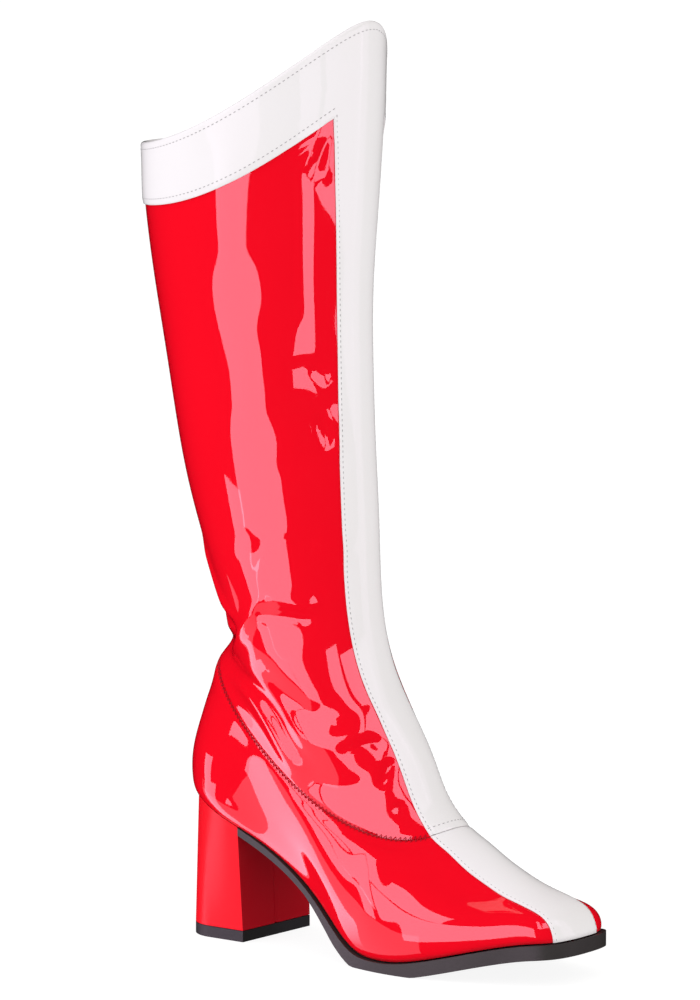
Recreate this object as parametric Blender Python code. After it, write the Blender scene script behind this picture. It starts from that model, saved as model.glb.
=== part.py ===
# Costume boot for the right foot: calf-high patent boot on a block heel, with a peaked cuff and a stripe.
# Metres. +X points to the toe, +Y to the inner side of the foot, +Z up. The sole stands on Z = 0.

from collections import namedtuple
import math

import bmesh
import bpy
import numpy as np

# Driving sizes
FOOT_LENGTH = 0.2246
BALL_WIDTH = 0.0850
SEAT_HEIGHT = 0.0693
INSTEP_HEIGHT = 0.0650
ANKLE_WIDTH = 0.0740
CALF_WIDTH = 0.1100
BACK_HEIGHT = 0.3860
PEAK_HEIGHT = 0.4460

# Thicknesses and clearances
WALL = 0.0020
OVERLAY = 0.0009
GAP = 0.0003
SOLE_GAP = 0.0005
MERGE = 0.00001
SOLE_THICKNESS = 0.0070
WAIST_THICKNESS = 0.0036
SOLE_LEDGE = 0.0021
WAIST_LEDGE = 0.0004
INSOLE_THICKNESS = 0.0020
INSOLE_INSET = 0.0036
WAIST_END = 0.38
BALL_START = 0.47
SEAM_PITCH = 0.0105

# Heel block, a D in plan with its flat side facing the toe
HEEL_BACK = 0.0072
HEEL_BREAST = 0.0490
HEEL_BREAST_TOP = 0.0468
HEEL_ROUND = 0.0200
HEEL_WIDTH = 0.0520
HEEL_TOP_INSET = 0.0004
LIFT_HEIGHT = 0.0054

# Mesh steps
WALL_CELLS = 15
WALL_CROWD = 0.55
STRIPE_CELLS = 6
FOOT_ROWS = 15
SHAFT_ROWS = 18
CUFF_ROWS = 3
SOLE_CELLS = 26
SOLE_ACROSS = 4
HEEL_CELLS = 8
HEEL_STEPS = 3
CURVE_SAMPLES = 400
LEVEL_STEP = 0.002
SHARP_ANGLE = math.radians(35)

# Where the stated sizes sit on the tables below
X_BACK = 0.0060
X_TIP = X_BACK + FOOT_LENGTH
SEAM_RING = 8
CUFF_RING = 19
COLLAR_RING = 21

# The footprint: how full each side is beside an ellipse as long as the foot and as wide as the ball
Outline = namedtuple("Outline", "share outer inner")
FOOTPRINT = (
    Outline(0.000, 1.12, 1.12),
    Outline(0.105, 1.01, 0.99),
    Outline(0.200, 0.81, 0.78),
    Outline(0.305, 0.71, 0.64),
    Outline(0.420, 0.73, 0.66),
    Outline(0.526, 0.86, 0.78),
    Outline(0.652, 1.00, 0.98),
    Outline(0.757, 1.03, 1.07),
    Outline(0.862, 0.95, 1.02),
    Outline(0.930, 0.80, 0.86),
    Outline(1.000, 0.66, 0.66),
)

# The line where the upper meets the sole, from the heel over the arch to the toe spring
Bottom = namedtuple("Bottom", "share height")
BOTTOM_LINE = (
    Bottom(0.000, SEAT_HEIGHT),
    Bottom(0.062, 0.0670),
    Bottom(0.128, 0.0618),
    Bottom(0.182, 0.0570),
    Bottom(0.240, 0.0513),
    Bottom(0.327, 0.0411),
    Bottom(0.396, 0.0304),
    Bottom(0.463, 0.0181),
    Bottom(0.500, 0.0116),
    Bottom(0.540, 0.0070),
    Bottom(0.590, 0.0053),
    Bottom(0.645, 0.0056),
    Bottom(0.735, 0.0092),
    Bottom(0.850, 0.0157),
    Bottom(0.940, 0.0196),
    Bottom(1.000, 0.0210),
)

# Rings round the boot, from the sole line to the collar. The ends are on the back and front centre lines.
# foot, arch and drop are shares: of the footprint's plan, of the sole line's dip, and of a fall that is
# steep at the heel. peak is the power of the rise to the front, nose is the fullness at the front beside
# an ellipse, toe is the fullness that squares the tip, and stripe is half the stripe's width.
Ring = namedtuple("Ring", "back_x back_z front_x front_z width foot arch drop peak nose toe stripe")
RINGS = (
    Ring(X_BACK, SEAT_HEIGHT, X_TIP, 0.0210, BALL_WIDTH, 1.00, 1.00, 0.00, 1.0, 1.0, 1.15, 0.0157),
    Ring(0.0036, 0.0755, 0.2290, 0.0262, 0.0885, 1.00, 0.99, 0.06, 1.0, 1.0, 1.15, 0.0157),
    Ring(0.0030, 0.0835, 0.2252, 0.0318, 0.0895, 0.96, 0.92, 0.14, 1.0, 1.0, 0.95, 0.0157),
    Ring(0.0037, 0.0915, 0.2172, 0.0360, 0.0880, 0.88, 0.80, 0.25, 1.0, 1.0, 0.58, 0.0156),
    Ring(0.0056, 0.0998, 0.2065, 0.0400, 0.0850, 0.76, 0.64, 0.40, 1.0, 1.0, 0.30, 0.0153),
    Ring(0.0083, 0.1085, 0.1958, 0.0448, 0.0810, 0.60, 0.46, 0.58, 1.0, 1.0, 0.20, 0.0152),
    Ring(0.0113, 0.1175, 0.1832, 0.0512, 0.0765, 0.42, 0.30, 0.76, 1.0, 1.0, 0.18, 0.0152),
    Ring(0.0146, 0.1270, 0.1710, 0.0584, 0.0725, 0.24, 0.17, 0.90, 1.0, 1.0, 0.18, 0.0147),
    Ring(0.0183, 0.1370, 0.1598, INSTEP_HEIGHT, 0.0695, 0.10, 0.08, 1.00, 1.0, 1.02, 0.18, 0.0143),
    Ring(0.0268, 0.1475, 0.1468, 0.0780, 0.0690, 0.00, 0.02, 0.84, 1.0, 1.03, 0.10, 0.0132),
    Ring(0.0262, 0.1590, 0.1378, 0.0960, 0.0700, 0.00, 0.00, 0.62, 1.0, 1.00, 0.00, 0.0131),
    Ring(0.0225, 0.1710, 0.1254, 0.1160, 0.0715, 0.00, 0.00, 0.40, 1.0, 0.95, 0.00, 0.0131),
    Ring(0.0185, 0.1850, 0.1134, 0.1380, ANKLE_WIDTH, 0.00, 0.00, 0.20, 1.0, 0.89, 0.00, 0.0131),
    Ring(0.0120, 0.2050, 0.1066, 0.1680, 0.0800, 0.00, 0.00, 0.06, 1.0, 0.82, 0.00, 0.0134),
    Ring(0.0045, 0.2290, 0.1046, 0.2050, 0.0860, 0.00, 0.00, 0.00, 1.0, 0.78, 0.00, 0.0138),
    Ring(-0.0010, 0.2540, 0.1026, 0.2420, 0.0905, 0.00, 0.00, 0.00, 1.1, 0.75, 0.00, 0.0135),
    Ring(-0.0054, 0.2790, 0.1012, 0.2800, 0.0945, 0.00, 0.00, 0.00, 1.3, 0.73, 0.00, 0.0131),
    Ring(-0.0100, 0.3050, 0.1010, 0.3190, 0.0990, 0.00, 0.00, 0.00, 1.7, 0.71, 0.00, 0.0135),
    Ring(-0.0144, 0.3310, 0.1034, 0.3600, 0.1040, 0.00, 0.00, 0.00, 2.4, 0.71, 0.00, 0.0158),
    Ring(-0.0178, 0.3565, 0.1060, 0.4080, 0.1080, 0.00, 0.00, 0.00, 3.0, 0.72, 0.00, 0.0188),
    Ring(-0.0184, 0.3710, 0.1066, 0.4280, 0.1092, 0.00, 0.00, 0.00, 2.75, 0.72, 0.00, 0.0193),
    Ring(-0.0188, BACK_HEIGHT, 0.1070, PEAK_HEIGHT, CALF_WIDTH, 0.00, 0.00, 0.00, 2.5, 0.725, 0.00, 0.0195),
)
DROP_POWER = 1.98
DROP_DIP = 1.06
DIP_POWER = 6
NOSE_POWER = 4
TOE_POWER = 20
TOE_INNER = 1.80

# Finishes, with colours in linear light
Finish = namedtuple("Finish", "colour roughness coat")
RED_PATENT = Finish((0.80, 0.006, 0.016, 1.0), 0.12, 1.0)
HEEL_PATENT = Finish((0.62, 0.004, 0.012, 1.0), 0.12, 1.0)
WHITE_PATENT = Finish((0.80, 0.79, 0.77, 1.0), 0.15, 1.0)
SOLE_UNIT = Finish((0.030, 0.027, 0.025, 1.0), 0.55, 0.0)
LIFT_RUBBER = Finish((0.012, 0.011, 0.011, 1.0), 0.50, 0.0)
SOCK_CLOTH = Finish((0.30, 0.29, 0.28, 1.0), 0.80, 0.0)


def spline(knots, values, at):
    """Natural cubic curve through the knots."""
    knots = np.asarray(knots, float)
    values = np.asarray(values, float)
    step = np.diff(knots)
    slope = np.diff(values) / step
    size = len(knots)
    matrix = np.eye(size)
    right = np.zeros(size)
    for i in range(1, size - 1):
        matrix[i, i - 1:i + 2] = step[i - 1], 2 * (step[i - 1] + step[i]), step[i]
        right[i] = 6 * (slope[i] - slope[i - 1])
    bend = np.linalg.solve(matrix, right)
    at = np.clip(np.asarray(at, float), knots[0], knots[-1])
    i = np.clip(np.searchsorted(knots, at) - 1, 0, size - 2)
    left = at - knots[i]
    rest = knots[i + 1] - at
    ends = (bend[i] * rest ** 3 + bend[i + 1] * left ** 3) / (6 * step[i])
    start = (values[i] / step[i] - bend[i] * step[i] / 6) * rest
    stop = (values[i + 1] / step[i] - bend[i + 1] * step[i] / 6) * left
    return ends + start + stop


def column(table, name):
    return [getattr(row, name) for row in table]


def ring_at(level):
    """The ring's sizes at a level between two rows of the table."""
    levels = range(len(RINGS))
    return Ring(*(float(spline(levels, column(RINGS, name), level)) for name in Ring._fields))


def sole_line(share):
    return spline(column(BOTTOM_LINE, "share"), column(BOTTOM_LINE, "height"), share)


def half_width(ring, share, side):
    """Distance from the centre plane on the outer (-1) or inner (+1) side."""
    ellipse = 2 * np.sqrt(np.clip(share * (1 - share), 0, None))
    name = "outer" if side < 0 else "inner"
    full = spline(column(FOOTPRINT, "share"), column(FOOTPRINT, name), share)
    leg = 1 + (ring.nose - 1) * share ** NOSE_POWER
    toe = ring.toe * share ** TOE_POWER * (1 if side < 0 else TOE_INNER)
    return ellipse * ring.width / 2 * (ring.foot * full + (1 - ring.foot) * leg + toe)


def ring_height(ring, share):
    """Height along the ring from the back centre (0) to the front centre (1)."""
    drop = 1 - (1 - share) ** DROP_POWER + DROP_DIP * share ** DIP_POWER * (1 - share)
    way = share ** ring.peak + ring.drop * (drop - share)
    straight = RINGS[0].back_z + (RINGS[0].front_z - RINGS[0].back_z) * share
    dip = sole_line(share) - straight
    return ring.back_z + (ring.front_z - ring.back_z) * way + ring.arch * dip


def ring_points(level):
    """One point for each column: back centre, outer wall, stripe, inner wall."""
    ring = ring_at(level)
    share = (1 - np.cos(np.linspace(0, math.pi, CURVE_SAMPLES))) / 2
    x = ring.back_x + (ring.front_x - ring.back_x) * share
    z = ring_height(ring, share)
    halves = []
    for side in (-1, 1):
        wide = half_width(ring, share, side)
        front = np.argmax(wide)
        stripe_steps = np.linspace(1, 0, STRIPE_CELLS // 2 + 1)
        stripe = np.interp(-ring.stripe * stripe_steps, -wide[front:], share[front:])
        length = np.concatenate(([0], np.cumsum(np.hypot(np.hypot(np.diff(x), np.diff(z)), np.diff(wide)))))
        edge = np.interp(stripe[0], share, length)
        even = np.linspace(0, 1, WALL_CELLS + 1)
        crowded = even - WALL_CROWD * np.sin(2 * math.pi * even) / (2 * math.pi)
        wall = np.interp(edge * crowded, length, share)
        places = np.concatenate((wall, stripe[1:]))
        points = [np.interp(places, share, values) for values in (x, side * wide, z)]
        halves.append(np.stack(points, axis=1))
    return np.concatenate((halves[0], halves[1][-2:0:-1]))


def lifted_rows(levels, lift):
    """Closed rings of points moved off the boot's surface along its normal."""
    rows = []
    for level in levels:
        points = ring_points(level)
        along = np.roll(points, -1, axis=0) - np.roll(points, 1, axis=0)
        up = ring_points(min(level + LEVEL_STEP, COLLAR_RING)) - ring_points(max(level - LEVEL_STEP, 0))
        normal = np.cross(along, up)
        normal /= np.linalg.norm(normal, axis=1, keepdims=True)
        moved = points + lift * normal
        rows.append(np.concatenate((moved, moved[:1])))
    return rows


def material(name, finish):
    made = bpy.data.materials.new(name)
    made.use_nodes = True
    shader = made.node_tree.nodes["Principled BSDF"]
    shader.inputs["Base Color"].default_value = finish.colour
    shader.inputs["Roughness"].default_value = finish.roughness
    shader.inputs["Metallic"].default_value = 0.0
    shader.inputs["Coat Weight"].default_value = finish.coat
    made.diffuse_color = finish.colour
    return made


def add_object(name, bm, finish, parent):
    bmesh.ops.recalc_face_normals(bm, faces=bm.faces)
    mesh = bpy.data.meshes.new(name)
    bm.to_mesh(mesh)
    bm.free()
    mesh.shade_smooth()
    mesh.set_sharp_from_angle(angle=SHARP_ANGLE)
    mesh.materials.append(material(name, finish))
    made = bpy.data.objects.new(name, mesh)
    made.parent = parent
    bpy.context.scene.collection.objects.link(made)
    return made


def footprint(share, side, margin):
    """Plan of the sole line on one side, moved outwards by a margin."""
    ring = RINGS[0]
    x = ring.back_x + (ring.front_x - ring.back_x) * share
    y = side * half_width(ring, share, side)
    turn = np.arctan2(np.gradient(y * side), np.gradient(x))
    turn[0] = math.pi / 2 if share[0] == 0 else turn[0]
    turn[-1] = -math.pi / 2 if share[-1] == 1 else turn[-1]
    return x - np.sin(turn) * margin, y + side * np.cos(turn) * margin


def add_solid(name, levels, finish, parent, keep=None):
    """A closed solid between grids of points: the first grid, cut to its cells, extruded to the others."""
    rows = len(levels[0]) - 1
    across = len(levels[0][0]) - 1
    bm = bmesh.new()
    bmesh.ops.create_grid(bm, x_segments=across, y_segments=rows, size=1.0)
    place = bm.verts.layers.float_vector.new("place")
    for vert in bm.verts:
        vert[place] = (round((vert.co.y + 1) / 2 * rows), round((vert.co.x + 1) / 2 * across), 0)
    if keep:
        outside = [face for face in bm.faces if not keep(*grid_cell(face, rows, across))]
        bmesh.ops.delete(bm, geom=outside, context="FACES")
    for vert in bm.verts:
        vert.co = levels[0][int(vert[place].x)][int(vert[place].y)]
    bmesh.ops.remove_doubles(bm, verts=bm.verts, dist=MERGE)
    region = [*bm.verts, *bm.edges, *bm.faces]
    for level in levels[1:]:
        region = bmesh.ops.extrude_face_region(bm, geom=region)["geom"]
        for vert in (item for item in region if isinstance(item, bmesh.types.BMVert)):
            vert.co = level[int(vert[place].x)][int(vert[place].y)]
    bmesh.ops.triangulate(bm, faces=bm.faces, quad_method="FIXED")
    return add_object(name, bm, finish, parent)


def grid_cell(face, rows, across):
    """Row and column of a face of a grid that spans -1 to 1."""
    centre = face.calc_center_median()
    return int((centre.y + 1) / 2 * rows), int((centre.x + 1) / 2 * across)


def across_rows(outer, inner, height, cells):
    """Rows of points from the outer edge to the inner edge at each station."""
    steps = np.linspace(0, 1, cells + 1)[:, None]
    rows = []
    for (x0, y0), (x1, y1), z in zip(np.transpose(outer), np.transpose(inner), height):
        edge0 = np.array((x0, y0, z))
        edge1 = np.array((x1, y1, z))
        rows.append(edge0 + (edge1 - edge0) * steps)
    return rows


def heel_stations():
    """Shares of the heel's length, close together where its back is round."""
    return 1 - np.cos(np.linspace(0, math.pi / 2, HEEL_CELLS + 1))


def heel_plan(length):
    """Half widths of the D at shares of its length."""
    x = HEEL_BACK + (HEEL_BREAST - HEEL_BACK) * length
    bend = np.clip((HEEL_BACK + HEEL_ROUND - x) / HEEL_ROUND, 0, 1)
    return x, HEEL_WIDTH / 2 * np.sqrt(1 - bend ** 2)


def heel_levels():
    """Grids of the heel block from its seat under the upper down to the lift."""
    length = heel_stations()
    share = length * (HEEL_BREAST_TOP - X_BACK) / FOOT_LENGTH
    fine = np.linspace(0, share[-1], CURVE_SAMPLES)
    seat = sole_line(share) - SOLE_GAP
    top = []
    for side in (-1, 1):
        edge = footprint(fine, side, -HEEL_TOP_INSET)
        top.append(np.array([np.interp(share, fine, values) for values in edge]))
    x, half = heel_plan(length)
    foot = (np.array((x, -half)), np.array((x, half)))
    levels = []
    for step in np.linspace(0, 1, HEEL_STEPS + 1):
        edges = [top[i] + (foot[i] - top[i]) * step for i in (0, 1)]
        height = seat + (LIFT_HEIGHT + GAP - seat) * step
        levels.append(across_rows(edges[0], edges[1], height, SOLE_ACROSS))
    return levels


def lift_levels():
    length = heel_stations()
    x, half = heel_plan(length)
    return [across_rows((x, -half), (x, half), 0 * x + height, SOLE_ACROSS) for height in (LIFT_HEIGHT, 0.0)]


def outsole_levels():
    """The sole's top under the upper, and its bottom, flat where it stands at the ball."""
    start = (HEEL_BREAST_TOP + GAP + WAIST_LEDGE - X_BACK) / FOOT_LENGTH
    share = start + (1 - start) * np.sin(np.linspace(0, math.pi / 2, SOLE_CELLS + 1))
    ledge = WAIST_LEDGE + (SOLE_LEDGE - WAIST_LEDGE) * np.clip((share - start) / (BALL_START - start), 0, 1)
    outer = footprint(share, -1, ledge)
    inner = footprint(share, 1, ledge)
    top = sole_line(share) - SOLE_GAP
    forward = np.clip((share - WAIST_END) / (BALL_START - WAIST_END), 0, 1)
    bottom = np.maximum(top - WAIST_THICKNESS - (SOLE_THICKNESS - WAIST_THICKNESS) * forward, 0)
    return [across_rows(outer, inner, height, SOLE_ACROSS) for height in (top, bottom)]


def insole_levels():
    share = (1 - np.cos(np.linspace(0, math.pi, SOLE_CELLS + 1))) / 2
    outer = footprint(share, -1, -INSOLE_INSET)
    inner = footprint(share, 1, -INSOLE_INSET)
    bottom = sole_line(share)
    return [across_rows(outer, inner, height, SOLE_ACROSS) for height in (bottom + INSOLE_THICKNESS, bottom)]


def in_stripe(row, cell):
    return WALL_CELLS <= cell < WALL_CELLS + STRIPE_CELLS


def in_cuff_or_stripe(row, cell):
    return row >= SHAFT_ROWS or in_stripe(row, cell)


def wall(levels, outside, inside):
    """The outer and inner face of a wall, as distances from the boot's surface."""
    return [lifted_rows(levels, outside), lifted_rows(levels, inside)]


def overall_box():
    """Lowest and highest corner of all pieces."""
    corners = [vert.co for item in bpy.data.objects if item.type == "MESH" for vert in item.data.vertices]
    return np.min(corners, axis=0), np.max(corners, axis=0)


def main():
    for old in list(bpy.data.objects):
        bpy.data.objects.remove(old, do_unlink=True)
    boot = bpy.data.objects.new("boot", None)
    bpy.context.scene.collection.objects.link(boot)

    half_gap = GAP / 2 / SEAM_PITCH
    foot_levels = np.linspace(0, SEAM_RING - half_gap, FOOT_ROWS + 1)
    leg_levels = np.linspace(SEAM_RING + half_gap, CUFF_RING, SHAFT_ROWS + 1)
    cuff_levels = np.linspace(CUFF_RING, COLLAR_RING, CUFF_ROWS + 1)
    shaft_levels = np.concatenate((leg_levels, cuff_levels[1:]))

    add_solid("outsole", outsole_levels(), SOLE_UNIT, boot)
    add_solid("heel_block", heel_levels(), HEEL_PATENT, boot)
    add_solid("heel_lift", lift_levels(), LIFT_RUBBER, boot)
    add_solid("insole", insole_levels(), SOCK_CLOTH, boot)
    add_solid("upper", wall(foot_levels, 0, -WALL), RED_PATENT, boot)
    add_solid("shaft", wall(shaft_levels, 0, -WALL), RED_PATENT, boot)
    add_solid("vamp_stripe", wall(foot_levels, GAP + OVERLAY, GAP), WHITE_PATENT, boot, in_stripe)
    cuff = wall(shaft_levels, GAP + OVERLAY, GAP)
    add_solid("cuff_and_shaft_stripe", cuff, WHITE_PATENT, boot, in_cuff_or_stripe)

    low, high = overall_box()
    boot.location = (-(low[0] + high[0]) / 2, -(low[1] + high[1]) / 2, 0)


if __name__ == "__main__":
    main()
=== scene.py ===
from collections import namedtuple
from functools import lru_cache
import math

import bmesh
import bpy
from bpy.props import FloatProperty, FloatVectorProperty, PointerProperty
from mathutils import Matrix, Quaternion, Vector
import numpy as np


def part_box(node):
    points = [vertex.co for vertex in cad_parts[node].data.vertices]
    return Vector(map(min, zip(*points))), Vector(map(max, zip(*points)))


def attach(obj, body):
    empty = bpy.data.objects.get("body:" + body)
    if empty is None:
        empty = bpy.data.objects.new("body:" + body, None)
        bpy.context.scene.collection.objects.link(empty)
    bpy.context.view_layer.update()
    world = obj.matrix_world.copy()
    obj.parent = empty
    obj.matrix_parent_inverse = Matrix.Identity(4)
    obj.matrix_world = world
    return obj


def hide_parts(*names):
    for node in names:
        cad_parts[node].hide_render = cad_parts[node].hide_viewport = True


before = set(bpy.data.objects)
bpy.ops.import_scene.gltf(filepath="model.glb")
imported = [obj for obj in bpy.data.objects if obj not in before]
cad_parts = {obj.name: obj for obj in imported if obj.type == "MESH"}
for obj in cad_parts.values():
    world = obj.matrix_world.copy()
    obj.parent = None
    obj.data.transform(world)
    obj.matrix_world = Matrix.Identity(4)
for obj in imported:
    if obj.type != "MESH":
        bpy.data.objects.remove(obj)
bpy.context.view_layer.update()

bl_info = {
    "name": "Costume Boot Looks",
    "version": (1, 0, 0),
    "blender": (4, 5, 0),
    "location": "View3D > Sidebar > Boot",
    "description": "Dresses the packed solids of a patent costume boot",
    "category": "Object",
}

MM = 0.001
BODY = "root"

# The boot's driving sizes, in its own frame: +X to the toe, +Y to the inner side, Z = 0 on the floor
FOOT_LENGTH = 0.2246
BALL_WIDTH = 0.0850
SEAT_HEIGHT = 0.0693
INSTEP_HEIGHT = 0.0650
ANKLE_WIDTH = 0.0740
CALF_WIDTH = 0.1100
BACK_HEIGHT = 0.3860
PEAK_HEIGHT = 0.4460
SOLE_GAP = 0.0005
SOLE_THICKNESS = 0.0070
WAIST_THICKNESS = 0.0036
SOLE_LEDGE = 0.0021
WAIST_LEDGE = 0.0004
WAIST_END = 0.38
BALL_START = 0.47
INSOLE_THICKNESS = 0.0020
INSOLE_INSET = 0.0036
HEEL_BACK = 0.0072
HEEL_BREAST = 0.0490
HEEL_BREAST_TOP = 0.0468
HEEL_ROUND = 0.0200
HEEL_WIDTH = 0.0520
HEEL_TOP_INSET = 0.0004
LIFT_HEIGHT = 0.0054
# Heel wrap faces turned to the toe beyond this take the breast's darker red, which is painted shade
PAINTED_SHADE_BREAST_FACING = 0.8
X_BACK = 0.0060
X_TIP = X_BACK + FOOT_LENGTH
LINING_RING = 0.1
SEAM_RING = 8
ANKLE_RING = 14
CUFF_RING = 19
COLLAR_RING = 21
ROLL_RING = 20.91
SHIFT = np.array((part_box("upper")[1].x - X_TIP, 0, 0))

# The footprint: how full each side is beside an ellipse as long as the foot and as wide as the ball
Outline = namedtuple("Outline", "share outer inner")
FOOTPRINT = (
    Outline(0.000, 1.12, 1.12),
    Outline(0.105, 1.01, 0.99),
    Outline(0.200, 0.81, 0.78),
    Outline(0.305, 0.71, 0.64),
    Outline(0.420, 0.73, 0.66),
    Outline(0.526, 0.86, 0.78),
    Outline(0.652, 1.00, 0.98),
    Outline(0.757, 1.03, 1.07),
    Outline(0.862, 0.95, 1.02),
    Outline(0.930, 0.80, 0.86),
    Outline(1.000, 0.66, 0.66),
)

# The line where the upper meets the sole, from the heel over the arch to the toe spring
Bottom = namedtuple("Bottom", "share height")
BOTTOM_LINE = (
    Bottom(0.000, SEAT_HEIGHT),
    Bottom(0.062, 0.0670),
    Bottom(0.128, 0.0618),
    Bottom(0.182, 0.0570),
    Bottom(0.240, 0.0513),
    Bottom(0.327, 0.0411),
    Bottom(0.396, 0.0304),
    Bottom(0.463, 0.0181),
    Bottom(0.500, 0.0116),
    Bottom(0.540, 0.0070),
    Bottom(0.590, 0.0053),
    Bottom(0.645, 0.0056),
    Bottom(0.735, 0.0092),
    Bottom(0.850, 0.0157),
    Bottom(0.940, 0.0196),
    Bottom(1.000, 0.0210),
)

# Rings round the boot, from the sole line to the collar, as in the solids. stripe is half the stripe's
# width, nose the fullness at the front beside an ellipse, peak the power of the rise to the front, drop the
# share of a fall that is steep at the heel, foot and arch those of the footprint's plan and the sole
# line's dip, and toe the fullness that squares the tip.
Ring = namedtuple("Ring", "back_x back_z front_x front_z width stripe nose peak drop foot arch toe",
                  defaults=(0, 0, 0, 0))
RINGS = (
    Ring(X_BACK, SEAT_HEIGHT, X_TIP, 0.0210, BALL_WIDTH, 0.0157, 1.0, 1.0, 0.00, 1.00, 1.00, 1.15),
    Ring(0.0036, 0.0755, 0.2290, 0.0262, 0.0885, 0.0157, 1.0, 1.0, 0.06, 1.00, 0.99, 1.15),
    Ring(0.0030, 0.0835, 0.2252, 0.0318, 0.0895, 0.0157, 1.0, 1.0, 0.14, 0.96, 0.92, 0.95),
    Ring(0.0037, 0.0915, 0.2172, 0.0360, 0.0880, 0.0156, 1.0, 1.0, 0.25, 0.88, 0.80, 0.58),
    Ring(0.0056, 0.0998, 0.2065, 0.0400, 0.0850, 0.0153, 1.0, 1.0, 0.40, 0.76, 0.64, 0.30),
    Ring(0.0083, 0.1085, 0.1958, 0.0448, 0.0810, 0.0152, 1.0, 1.0, 0.58, 0.60, 0.46, 0.20),
    Ring(0.0113, 0.1175, 0.1832, 0.0512, 0.0765, 0.0152, 1.0, 1.0, 0.76, 0.42, 0.30, 0.18),
    Ring(0.0146, 0.1270, 0.1710, 0.0584, 0.0725, 0.0147, 1.0, 1.0, 0.90, 0.24, 0.17, 0.18),
    Ring(0.0183, 0.1370, 0.1598, INSTEP_HEIGHT, 0.0695, 0.0143, 1.02, 1.0, 1.00, 0.10, 0.08, 0.18),
    Ring(0.0268, 0.1475, 0.1468, 0.0780, 0.0690, 0.0132, 1.03, 1.0, 0.84, 0.00, 0.02, 0.10),
    Ring(0.0262, 0.1590, 0.1378, 0.0960, 0.0700, 0.0131, 1.00, 1.0, 0.62),
    Ring(0.0225, 0.1710, 0.1254, 0.1160, 0.0715, 0.0131, 0.95, 1.0, 0.40),
    Ring(0.0185, 0.1850, 0.1134, 0.1380, ANKLE_WIDTH, 0.0131, 0.89, 1.0, 0.20),
    Ring(0.0120, 0.2050, 0.1066, 0.1680, 0.0800, 0.0134, 0.82, 1.0, 0.06),
    Ring(0.0045, 0.2290, 0.1046, 0.2050, 0.0860, 0.0138, 0.78, 1.0),
    Ring(-0.0010, 0.2540, 0.1026, 0.2420, 0.0905, 0.0135, 0.75, 1.1),
    Ring(-0.0054, 0.2790, 0.1012, 0.2800, 0.0945, 0.0131, 0.73, 1.3),
    Ring(-0.0100, 0.3050, 0.1010, 0.3190, 0.0990, 0.0135, 0.71, 1.7),
    Ring(-0.0144, 0.3310, 0.1034, 0.3600, 0.1040, 0.0158, 0.71, 2.4),
    Ring(-0.0178, 0.3565, 0.1060, 0.4080, 0.1080, 0.0188, 0.72, 3.0),
    Ring(-0.0184, 0.3710, 0.1066, 0.4280, 0.1092, 0.0193, 0.72, 2.75),
    Ring(-0.0188, BACK_HEIGHT, 0.1070, PEAK_HEIGHT, CALF_WIDTH, 0.0195, 0.725, 2.5),
)
DROP_POWER = 1.98
DROP_DIP = 1.06
DIP_POWER = 6
NOSE_POWER = 4
TOE_POWER = 20
TOE_INNER = 1.80

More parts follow.
